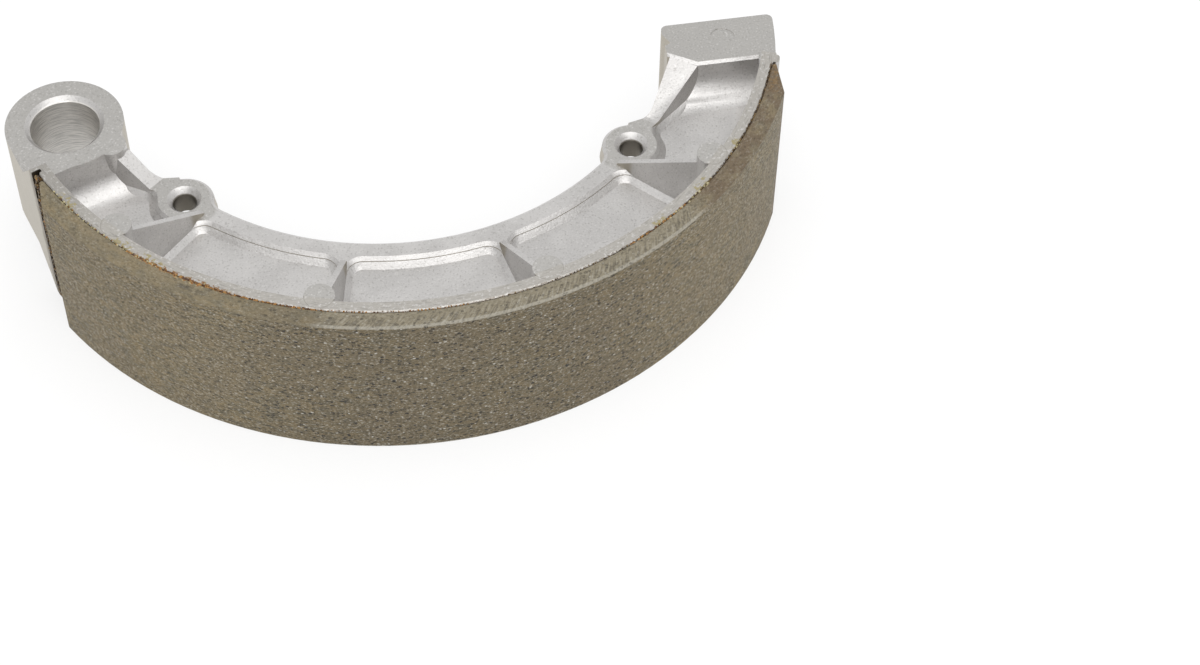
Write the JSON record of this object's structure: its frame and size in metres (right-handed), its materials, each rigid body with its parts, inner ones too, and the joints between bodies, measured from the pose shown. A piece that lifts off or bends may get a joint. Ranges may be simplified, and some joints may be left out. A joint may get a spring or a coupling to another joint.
{
  "type": "brake shoe",
  "caption": "Bonded drum-brake shoe: a curved cast aluminium shoe with radial ribs, a pivot boss, a flat cam foot and spring ears, with a friction lining on its outside.",
  "frame": {"origin": "on the brake drum's axis, at the middle of the shoe's width", "axes": "+Z along the drum's axis, out of the face with the ejector pins' marks; +X towards the cam end, with the cam face lying along X; +Y from the lining's middle towards the drum's axis"},
  "size_m": [0.1713, 0.0876, 0.04],
  "materials": {
    "casting": "die cast, fine blasted grain, satin",
    "lining": "moulded friction material, ground working face, matte"
  },
  "bodies": {
    "root": {"shoe_casting": "casting", "friction_lining": "lining"}
  },
  "joints": []
}
